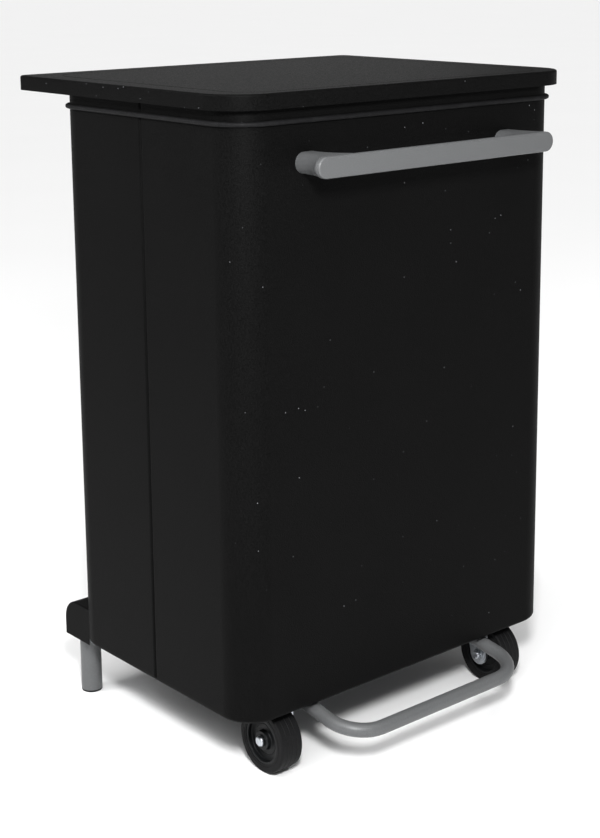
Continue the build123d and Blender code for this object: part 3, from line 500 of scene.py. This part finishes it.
def make_piece(shape, name, body, slot, nodes, wall=0.0):
    """Finishes a shape as a piece that rides on a body and stands for CAD nodes."""
    weld(shape)
    face_outwards(shape)
    mesh = bpy.data.meshes.new(name)
    shape.to_mesh(mesh)
    shape.free()
    mesh.shade_smooth()
    mesh.set_sharp_from_angle(angle=SHARP)
    mesh.materials.append(finish_for(slot))
    piece = bpy.data.objects.new(name, mesh)
    bpy.context.scene.collection.objects.link(piece)
    if wall:
        thicken = piece.modifiers.new("Wall", "SOLIDIFY")
        thicken.thickness = wall
        thicken.offset = -1
        thicken.use_even_offset = True
    flatten = piece.modifiers.new("Flat faces", "WEIGHTED_NORMAL")
    flatten.keep_sharp = True
    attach(piece, body)
    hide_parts(*nodes)
    return piece


# ---------------------------------------------------------------- body, band and lid


def half_body(shape):
    """One half shell, as the front one stands: a wall with two rounded corners, a rolled lower
    edge with a turned-in foot, and seam edges bent in to flanges."""
    sizes = sheet_sizes()
    low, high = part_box("front_shell")
    seam_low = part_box("base_pan")[1].z + sizes.sheet
    seam_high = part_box("rim_frame")[0].z - sizes.bottom_bend
    seam_y = -sizes.seam_gap / 2
    bend_start = seam_y - sizes.seam_bend
    section = trace(shape, (0, low.y + sizes.foot, low.z), -Y, -X, [
        sizes.foot - sizes.bottom_bend, (sizes.bottom_bend, 90),
        seam_low - low.z - sizes.bottom_bend, seam_high - seam_low, high.z - seam_high,
    ])
    seam = carry(shape, section, (0, low.y, 0), X, Z, [
        high.x - sizes.body_corner, (sizes.body_corner, 90),
        bend_start - low.y - sizes.body_corner,
    ])
    wall_foot = low.z + sizes.bottom_bend - SAME_PLACE
    wall = [e for e in edges_of(seam) if all(v.co.z > wall_foot for v in e.verts)]
    foot = [e for e in edges_of(seam) if e not in wall]
    carry(shape, with_verts(foot), (high.x, bend_start, 0), Y, Z, [sizes.seam_bend])
    turned = carry(
        shape, with_verts(wall), (high.x, bend_start, 0), Y, Z, [(sizes.seam_bend, 90)],
    )
    flange = [
        edge for edge in edges_of(turned)
        if all(seam_low - SAME_PLACE < v.co.z < seam_high + SAME_PLACE for v in edge.verts)
    ]
    carry(shape, with_verts(flange), (high.x, seam_y, 0), -X, Z, [
        sizes.seam_flange - sizes.seam_bend,
    ])
    mirror_across_middle(shape)


def cut_lever_notch(shape):
    """Opens the rear wall's foot where the pedal lever passes through it."""
    lever_low, lever_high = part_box("pedal_lever")
    reach = (lever_high.x - lever_low.x) / 2 + mm(10)
    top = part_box("base_pan")[1].z
    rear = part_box("rear_shell")[1].y - sheet_sizes().foot - SAME_PLACE
    for place, across in (((reach, 0, 0), X), ((-reach, 0, 0), X), ((0, 0, top), Z)):
        everything = shape.verts[:] + shape.edges[:] + shape.faces[:]
        bmesh.ops.bisect_plane(shape, geom=everything, dist=SAME_PLACE, plane_co=place,
                               plane_no=across)
    notch = [
        face for face in shape.faces
        if abs(face.calc_center_median().x) < reach and face.calc_center_median().z < top
        and face.calc_center_median().y > rear
    ]
    bmesh.ops.delete(shape, geom=notch, context="FACES")


class TrolleyBody(bpy.types.Operator):
    """Form the two half shells of the body"""

    bl_idname = "trolley.body"
    bl_label = "Body shells"

    def execute(self, context):
        front = bmesh.new()
        half_body(front)
        make_piece(front, "front_body_sheet", "trolley_body", "black_powder_coat",
                   ["front_shell"], sheet_sizes().sheet)
        rear = bmesh.new()
        half_body(rear)
        bmesh.ops.rotate(rear, verts=rear.verts, matrix=Matrix.Rotation(pi, 3, "Z"))
        cut_lever_notch(rear)
        make_piece(rear, "rear_body_sheet", "trolley_body", "black_powder_coat",
                   ["rear_shell"], sheet_sizes().sheet)
        return {"FINISHED"}


class TrolleyBand(bpy.types.Operator):
    """Run the rubber band that holds a sack's turned-over edge round the body"""

    bl_idname = "trolley.band"
    bl_label = "Sack band"

    def execute(self, context):
        sizes = sheet_sizes()
        low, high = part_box("bag_band")
        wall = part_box("front_shell")[0]
        half_width = -wall.x
        half_depth = -wall.y
        bead = (high.z - low.z) / 2
        band = bmesh.new()
        section = trace(band, (0, wall.y, low.z), -Y, -X, [
            -low.y - half_depth - bead, (bead, 180), -low.y - half_depth - bead,
        ])
        carry(band, section, (0, wall.y, 0), X, Z, [
            half_width - sizes.body_corner, (sizes.body_corner, 90),
            2 * (half_depth - sizes.body_corner), (sizes.body_corner, 90),
            half_width - sizes.body_corner,
        ])
        mirror_across_middle(band)
        weld(band)
        make_piece(band, "sack_band", "trolley_body", "black_rubber", ["bag_band"])
        return {"FINISHED"}


def lid_outline(shape, chain, place, reach, depth, front_corner, rear_corner):
    """Carries a chain round the right half of the lid, from the middle of the front to the back."""
    carry(shape, chain, place, X, Z, [
        reach - front_corner, (front_corner, 90), depth - front_corner - rear_corner,
        (rear_corner, 90), reach - rear_corner,
    ])


class TrolleyLid(bpy.types.Operator):
    """Press the lid: a skirt, a rounded edge, and a groove round its top"""

    bl_idname = "trolley.lid"
    bl_label = "Lid"

    def execute(self, context):
        sizes = sheet_sizes()
        low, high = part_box("lid_shell")
        lid = bmesh.new()
        skirt = trace(lid, (0, low.y, low.z), Z, -X, [
            high.z - low.z - sizes.lid_edge, (sizes.lid_edge, 90),
        ])
        lid_outline(lid, skirt, (0, low.y, 0), high.x, high.y - low.y, sizes.lid_front_corner,
                    sizes.lid_rear_corner)
        # The groove's section is four bends: in and down, level, up, and level again
        steep = 50
        bend = sizes.groove_depth / (2 - 2 * cos(radians(steep)))
        floor = sizes.groove_width - 4 * bend * sin(radians(steep))
        groove_y = low.y + sizes.groove_front
        groove = trace(lid, (0, groove_y, high.z), Y, -X, [
            (bend, steep), (bend, -steep), floor, (bend, -steep), (bend, steep),
        ])
        lid_outline(lid, groove, (0, groove_y, 0), high.x - sizes.groove_side,
                    high.y - groove_y - sizes.groove_side, sizes.groove_corner,
                    sizes.groove_corner)
        mirror_across_middle(lid)
        weld(lid)
        # The flat border joins the rounded edge to the groove, and the field fills the groove
        middle = Vector((0, (low.y + high.y) / 2, high.z))
        level = open_edges(lid, lambda place: abs(place.z - high.z) < SAME_PLACE)
        field_edges = [
            edge for edge in level
            if (edge.link_faces[0].calc_center_median() - edge_middle(edge)).dot(
                middle - edge_middle(edge)) < 0
            and abs(edge_middle(edge).x) < high.x - sizes.groove_side - sizes.groove_width / 2
            and edge_middle(edge).y > groove_y + sizes.groove_width / 2
            and edge_middle(edge).y < high.y - sizes.groove_side - sizes.groove_width / 2
        ]
        border_edges = [edge for edge in level if edge not in field_edges]
        bmesh.ops.bridge_loops(lid, edges=border_edges)
        bmesh.ops.edgeloop_fill(lid, edges=field_edges)
        make_piece(lid, "pressed_lid", "lid", "black_powder_coat", ["lid_shell"], sizes.sheet)
        return {"FINISHED"}


# ---------------------------------------------------------------- handle and pedal


def stadium(shape, middle, width, height):
    """A closed outline with round ends, upright across the trolley."""
    end = height / 2
    chain = trace(shape, middle + Vector((end - width / 2, 0, -end)), X, -Y, [
        width - 2 * end, (end, 180), width - 2 * end, (end, 180),
    ])
    weld(shape)
    return chain


class TrolleyHandle(bpy.types.Operator):
    """Cast the handle: a flat bar with round ends on two arms that flare into it"""

    bl_idname = "trolley.handle"
    bl_label = "Handle"

    def execute(self, context):
        sizes = grip_sizes()
        low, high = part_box("handle_bar")
        height = high.z - low.z
        bar = bmesh.new()
        stadium(bar, Vector((0, high.y, (low.z + high.z) / 2)), high.x - low.x, height)
        back = bmesh.ops.edgeloop_fill(bar, edges=bar.edges)["faces"]
        front = bmesh.ops.extrude_face_region(bar, geom=back, use_keep_orig=True)["geom"]
        bmesh.ops.translate(bar, verts=verts_of(front), vec=-Y * (high.y - low.y))
        rims = [
            edge for edge in bar.edges
            if abs(edge.verts[0].co.y - edge.verts[1].co.y) < SAME_PLACE
        ]
        bmesh.ops.bevel(bar, geom=rims, offset=sizes.bar_edge, offset_type="OFFSET", segments=5,
                        profile=0.5, affect="EDGES", material=-1, clamp_overlap=True)
        make_piece(bar, "grip_bar", "trolley_body", "grey_powder_coat", ["handle_bar"])
        for side in ("left", "right"):
            self.make_arm(side, sizes)
        return {"FINISHED"}

    def make_arm(self, side, sizes):
        """One arm: round-ended at the wall, widening both ways to meet the bar's end."""
        low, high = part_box(f"handle_mount_{side}")
        bar_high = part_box("handle_bar")[1]
        outwards = -1 if side == "left" else 1
        middle = (low + high) / 2
        reach = high.y - low.y - sizes.joint_groove
        outer_flare = bar_high.x - max(abs(low.x), abs(high.x)) - sizes.bar_edge / 2
        arm = bmesh.new()
        stadium(arm, Vector((middle.x, high.y, middle.z)), high.x - low.x, high.z - low.z)
        ring = arm.edges[:]
        steps = 12
        sweep = 2.6  # how late the arm widens on its way to the bar
        neck_share = 0.94  # the neck's size against the arm's end
        for step in range(steps):
            made = bmesh.ops.extrude_edge_only(arm, edges=ring)["geom"]
            ring = edges_of(made)
            bmesh.ops.translate(arm, verts=verts_of(made), vec=-Y * (reach / steps))
            growth = ((step + 1) / steps) ** sweep - (step / steps) ** sweep
            for inner in (False, True):
                towards = outwards if not inner else -outwards
                flare = (sizes.arm_flare if inner else outer_flare) * growth
                half = [v for v in verts_of(made) if (v.co.x - middle.x) * towards > 0]
                bmesh.ops.translate(arm, verts=half, vec=X * (towards * flare))
        # The line between arm and bar, a narrow neck
        neck_x = sum(edge_middle(edge).x for edge in ring) / len(ring)
        for run, shrink in ((0.0, neck_share), (sizes.joint_groove, 1.0)):
            made = bmesh.ops.extrude_edge_only(arm, edges=ring)["geom"]
            ring = edges_of(made)
            bmesh.ops.scale(
                arm, verts=verts_of(made), vec=(shrink, 1, shrink),
                space=Matrix.Translation((-neck_x, 0, -middle.z)),
            )
            bmesh.ops.translate(arm, verts=verts_of(made), vec=-Y * run)
        bmesh.ops.holes_fill(arm, edges=arm.edges)
        make_piece(arm, f"grip_arm_{side}", "trolley_body", "grey_powder_coat",
                   [f"handle_mount_{side}"])


class TrolleyPedal(bpy.types.Operator):
    """Bend the pedal from one steel tube"""

    bl_idname = "trolley.pedal"
    bl_label = "Pedal tube"

    def execute(self, context):
        sizes = grip_sizes()
        low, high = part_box("pedal_tube")
        shaft_low, shaft_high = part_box("pedal_shaft")
        shaft = (shaft_low + shaft_high) / 2
        radius = sizes.tube_radius
        bar = Vector((0, low.y + radius, low.z + radius))
        slope = atan2(shaft.z - bar.z, shaft.y - bar.y)
        backwards = Vector((0, cos(slope), sin(slope)))
        leg_x = high.x - radius
        leg = (high.y - radius * sin(slope) - bar.y) / cos(slope)
        start = bar - X * leg_x + backwards * leg
        facing = backwards.to_track_quat("Z", "X").to_matrix().to_4x4()
        tube = bmesh.new()
        bmesh.ops.create_circle(tube, segments=48, radius=radius,
                                matrix=Matrix.Translation(start) @ facing)
        carry(tube, with_verts(tube.edges[:]), start, -backwards, X.cross(backwards), [
            leg - sizes.pedal_bend, (sizes.pedal_bend, 90),
            2 * (leg_x - sizes.pedal_bend), (sizes.pedal_bend, 90), leg - sizes.pedal_bend,
        ])
        make_piece(tube, "bent_pedal_tube", "pedal", "grey_powder_coat", ["pedal_tube"],
                   sizes.tube_wall)
        return {"FINISHED"}


# ---------------------------------------------------------------- wheels


def raised(size, turn=60):
    """The bends of a small rounded ridge on the right of a route, as high as its size."""
    return [(size, -turn), (size, 2 * turn), (size, -turn)]


def ridge_run(size, turn=60):
    """How far along a route a ridge reaches."""
    return 4 * size * sin(radians(turn))


def turn_wheel_part(section_start, route, side, centre, close):
    """Turns a section about a wheel's axle. The section is drawn for a wheel at the origin whose
    outer face looks along +X, and side places it on the left or the right."""
    part = bmesh.new()
    trace(part, section_start, Z, -Y, route)
    if close:
        ends = [vert for vert in part.verts if len(vert.link_edges) == 1]
        bmesh.ops.contextual_create(part, geom=ends)
    section = part.verts[:] + part.edges[:]
    bmesh.ops.spin(part, geom=section, cent=(0, 0, 0), axis=X, angle=2 * pi,
                   steps=WHEEL_FACETS, use_merge=True)
    bmesh.ops.scale(part, verts=part.verts, vec=(side, 1, 1))
    bmesh.ops.translate(part, verts=part.verts, vec=centre)
    return part


def tyre_route(half_width, sizes):
    """From the rim up the outer sidewall, across the tread with its moulded lines, and down."""
    line = sizes.ridge
    wall = sizes.tyre_depth - sizes.tyre_edge - line
    step = (wall - ridge_run(line)) / 3
    side_up = [step, *raised(line), 2 * step]
    side_down = [2 * step, *raised(line), step]
    flat = (2 * (half_width - line - sizes.tyre_edge) - 3 * ridge_run(line)) / 4
    tread = [flat, *raised(line), flat, *raised(line), flat, *raised(line), flat]
    return [*side_up, (sizes.tyre_edge, 90), *tread, (sizes.tyre_edge, 90), *side_down]


def hub_route(half_width, bush, rim, sizes):
    """The outer half of a hub's section: from the bush up the boss, down to the dished web, and
    up to the rim's lip. The inner half is its mirror image."""
    round_over = mm(1)
    fillet = mm(1.5)
    dish = sizes.hub_dish - round_over - fillet
    lip = mm(2)
    boss = sizes.hub_boss - bush - round_over
    web = rim - lip - round_over - 2 * fillet - sizes.hub_boss
    ring = mm(0.5)
    web_out = [web / 2 - ridge_run(ring) / 2, *raised(ring), web / 2 - ridge_run(ring) / 2]
    return [
        boss, (round_over, 90), dish, (fillet, -90), *web_out, (fillet, -90), dish,
        (round_over, 90), lip,
    ]


class TrolleyWheels(bpy.types.Operator):
    """Mould the two wheels: a rubber tyre on a dished plastic hub"""

    bl_idname = "trolley.wheels"
    bl_label = "Wheels"

    def execute(self, context):
        sizes = wheel_sizes()
        for side_name, side in (("left", -1), ("right", 1)):
            low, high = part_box(f"tyre_{side_name}")
            centre = (low + high) / 2
            half_width = (high.x - low.x) / 2
            rim = (high.z - low.z) / 2 - sizes.tyre_depth
            tyre = turn_wheel_part(
                (half_width - sizes.ridge, 0, rim), tyre_route(half_width, sizes), side, centre,
                close=True,
            )
            make_piece(tyre, f"rubber_tyre_{side_name}", f"wheel_{side_name}", "tyre_rubber",
                       [f"tyre_{side_name}"])
            bush_low, bush_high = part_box(f"wheel_bush_{side_name}")
            bush = (bush_high.z - bush_low.z) / 2
            hub_low, hub_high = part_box(f"hub_{side_name}")
            hub_half = (hub_high.x - hub_low.x) / 2
            hub = turn_wheel_part(
                (hub_half, 0, bush), hub_route(hub_half, bush, rim, sizes), side, Vector(),
                close=False,
            )
            bmesh.ops.mirror(hub, geom=hub.verts[:] + hub.edges[:] + hub.faces[:], axis="X",
                             merge_dist=0)
            for edge_radius in (bush, rim):
                loops = open_edges(hub, lambda place: abs(place.yz.length - edge_radius) < mm(0.05))
                bmesh.ops.bridge_loops(hub, edges=loops)
            bmesh.ops.translate(hub, verts=hub.verts, vec=centre)
            make_piece(hub, f"dished_hub_{side_name}", f"wheel_{side_name}",
                       "black_polypropylene", [f"hub_{side_name}"])
        return {"FINISHED"}


# ---------------------------------------------------------------- fittings and stage


class TrolleyFittings(bpy.types.Operator):
    """Give every part that the CAD model shows its own finish"""

    bl_idname = "trolley.fittings"
    bl_label = "Fittings"

    def execute(self, context):
        for part in frame["record"]["subparts"]:
            node = frame["nodes"][part["node"]]
            if not node.hide_render:
                for slot in node.material_slots:
                    slot.material = finish_for(part["material_slot"])
        return {"FINISHED"}


def softbox(name, place, target, width, height, watts):
    """A rectangular studio light, turned to a point."""
    light = bpy.data.lights.new(name, "AREA")
    light.shape = "RECTANGLE"
    light.size = width
    light.size_y = height
    light.energy = watts
    lamp = bpy.data.objects.new(name, light)
    lamp.location = place
    lamp.rotation_euler = (Vector(target) - Vector(place)).to_track_quat("-Z", "Y").to_euler()
    bpy.context.scene.collection.objects.link(lamp)


class TrolleyStage(bpy.types.Operator):
    """Set up the pale floor, the soft light and the camera"""

    bl_idname = "trolley.stage"
    bl_label = "Stage"

    def execute(self, context):
        self.lay_floor()
        self.light()
        self.place_camera()
        return {"FINISHED"}

    def lay_floor(self):
        material, tree, place = blank_material("matt_floor_paint")
        patches = add(tree, "ShaderNodeTexNoise", {"Vector": place, "Scale": 1 / mm(600)})
        base = add(tree, "ShaderNodeMix", {
            FACTOR: patches.outputs["Fac"],
            FIRST: shade(colours().floor, 0.99), SECOND: shade(colours().floor, 1.01),
        }, data_type="RGBA")
        paint = add(tree, "ShaderNodeBsdfPrincipled", {
            "Base Color": base.outputs[MIXED], "Roughness": 0.8, "Specular IOR Level": 0.1,
        })
        add(tree, "ShaderNodeOutputMaterial", {"Surface": paint.outputs[0]})
        ground = bmesh.new()
        bmesh.ops.create_grid(ground, x_segments=1, y_segments=1, size=30)
        mesh = bpy.data.meshes.new("studio_floor")
        ground.to_mesh(mesh)
        ground.free()
        mesh.materials.append(material)
        floor = bpy.data.objects.new("studio_floor", mesh)
        bpy.context.scene.collection.objects.link(floor)

    def light(self):
        scene = bpy.context.scene
        scene.view_settings.view_transform = "Standard"
        world = bpy.data.worlds.new("studio_air")
        world.use_nodes = True
        air = world.node_tree.nodes["Background"]
        air.inputs["Color"].default_value = (1, 1, 1, 1)
        air.inputs["Strength"].default_value = 0.24
        scene.world = world
        sun = bpy.data.lights.new("ceiling", "SUN")
        sun.energy = 2.75
        sun.angle = radians(70)
        ceiling = bpy.data.objects.new("ceiling", sun)
        ceiling.rotation_euler = Vector((0.35, 0.25, -1)).to_track_quat("-Z", "Y").to_euler()
        scene.collection.objects.link(ceiling)
        softbox("corner_light", (-1.0, -1.25, 1.25), (-0.23, -0.15, 0.72), 0.2, 0.25, 40)
        softbox("side_light", (-1.3, 0.7, 1.5), (-0.24, 0.12, 0.75), 0.4, 0.4, 12)
        softbox("lid_light", (1.6, 2.2, 1.5), (0, 0, 0.75), 1.4, 0.8, 2.5)

    def place_camera(self):
        """Looks from the front left, a little down, with the horizon almost level."""
        yaw, pitch, roll = radians(40.21), radians(11.81), radians(-0.5)
        ahead = Vector((sin(yaw) * cos(pitch), cos(yaw) * cos(pitch), -sin(pitch)))
        level = Vector((cos(yaw), -sin(yaw), 0))
        over = level.cross(ahead)
        right = level * cos(roll) + over * sin(roll)
        up = over * cos(roll) - level * sin(roll)
        camera = bpy.data.cameras.new("studio_camera")
        camera.sensor_width = 36
        camera.lens = 70.24
        camera.shift_y = -0.15
        camera.clip_end = 100
        viewer = bpy.data.objects.new("studio_camera", camera)
        viewer.matrix_world = Matrix.Translation((-1.231, -1.433, 0.891)) @ Matrix(
            (right, up, -ahead)).transposed().to_4x4()
        bpy.context.scene.collection.objects.link(viewer)
        bpy.context.scene.camera = viewer


# ---------------------------------------------------------------- add-on


STEPS = (
    TrolleyStage, TrolleyBody, TrolleyBand, TrolleyLid, TrolleyHandle, TrolleyPedal,
    TrolleyWheels, TrolleyFittings,
)
GROUPS = {
    "trolley_sheet": TrolleySheetSizes,
    "trolley_grip": TrolleyGripSizes,
    "trolley_wheel": TrolleyWheelSizes,
    "trolley_colours": TrolleyColours,
}


class TROLLEY_PT_maker(bpy.types.Panel):
    """Lists the steps that make the trolley"""

    bl_label = "Linen trolley"
    bl_space_type = "VIEW_3D"
    bl_region_type = "UI"
    bl_category = "Trolley"

    def draw(self, context):
        for step in STEPS:
            self.layout.operator(step.bl_idname)
        for name, group in GROUPS.items():
            for prop in group.__annotations__:
                self.layout.prop(getattr(context.scene, name), prop)


def register():
    for part in (*GROUPS.values(), *STEPS, TROLLEY_PT_maker):
        bpy.utils.register_class(part)
    for name, group in GROUPS.items():
        setattr(bpy.types.Scene, name, bpy.props.PointerProperty(type=group))


def unregister():
    for name in GROUPS:
        delattr(bpy.types.Scene, name)
    for part in (TROLLEY_PT_maker, *reversed(STEPS), *GROUPS.values()):
        bpy.utils.unregister_class(part)


def main():
    register()
    for step in STEPS:
        family, name = step.bl_idname.split(".")
        getattr(getattr(bpy.ops, family), name)()


if __name__ == "__main__":
    main()
